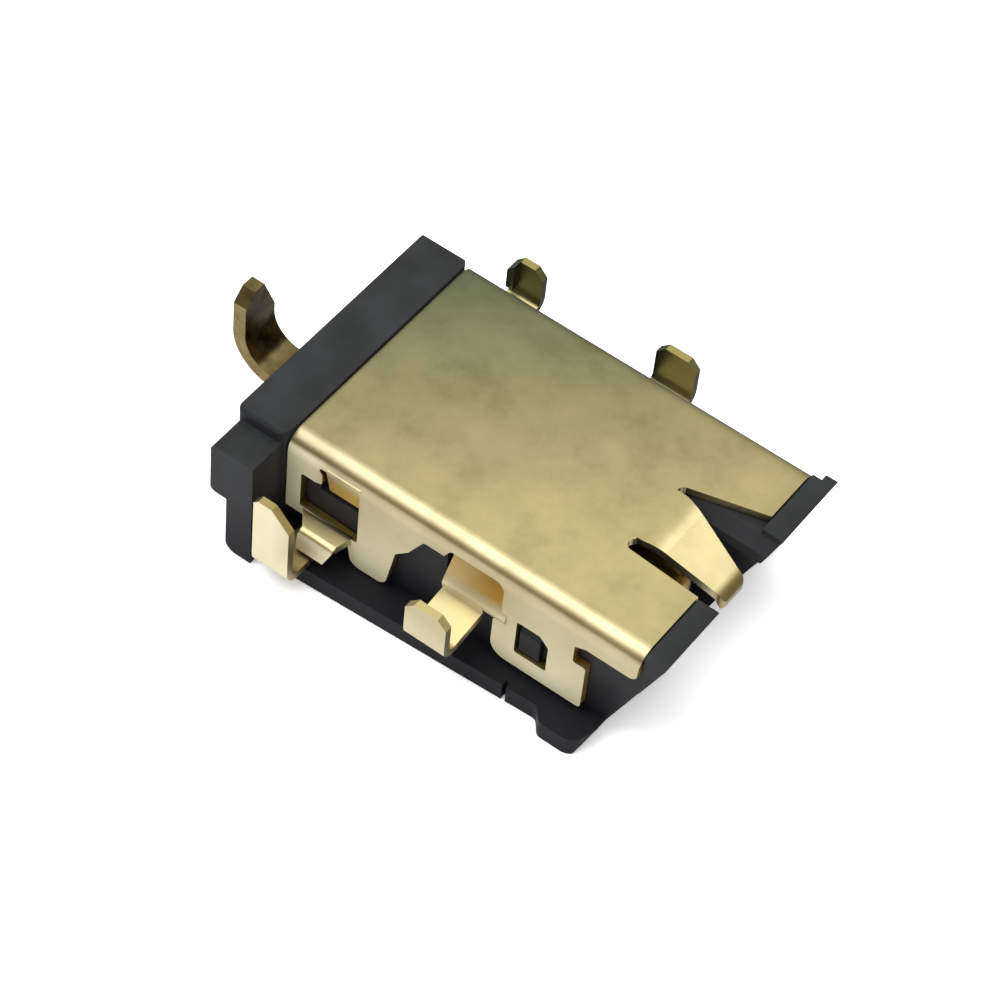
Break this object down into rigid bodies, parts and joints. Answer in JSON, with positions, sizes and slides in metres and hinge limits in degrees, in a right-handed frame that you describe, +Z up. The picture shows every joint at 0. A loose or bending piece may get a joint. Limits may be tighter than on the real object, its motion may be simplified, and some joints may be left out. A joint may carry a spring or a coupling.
{
  "type": "dc power jack",
  "caption": "Low board-mount barrel power jack: black moulded housing under a folded gold shell with a spring finger, centre pin, side contact and upright solder legs.",
  "frame": {"origin": "on the resting face, under the middle of the shell's length and width", "axes": "+X out of the plug mouth, +Y away from the side contact's leg, +Z up through the flat top of the shell"},
  "size_m": [0.0173, 0.012, 0.0046],
  "materials": {
    "housing_moulding": "satin moulded glass-filled polymer, charcoal black",
    "shell_plating": "satin gold flash plating on a stamped copper alloy",
    "pin_plating": "bright gold plating on a turned brass pin",
    "tail_plating": "bright gold plating on a thick stamped strap",
    "contact_plating": "pale gold plating on a stamped spring sheet"
  },
  "bodies": {
    "root": {"housing": "housing_moulding", "shell": "shell_plating", "center_pin": "pin_plating", "pin_tail": "tail_plating", "side_contact": "contact_plating"}
  },
  "joints": []
}
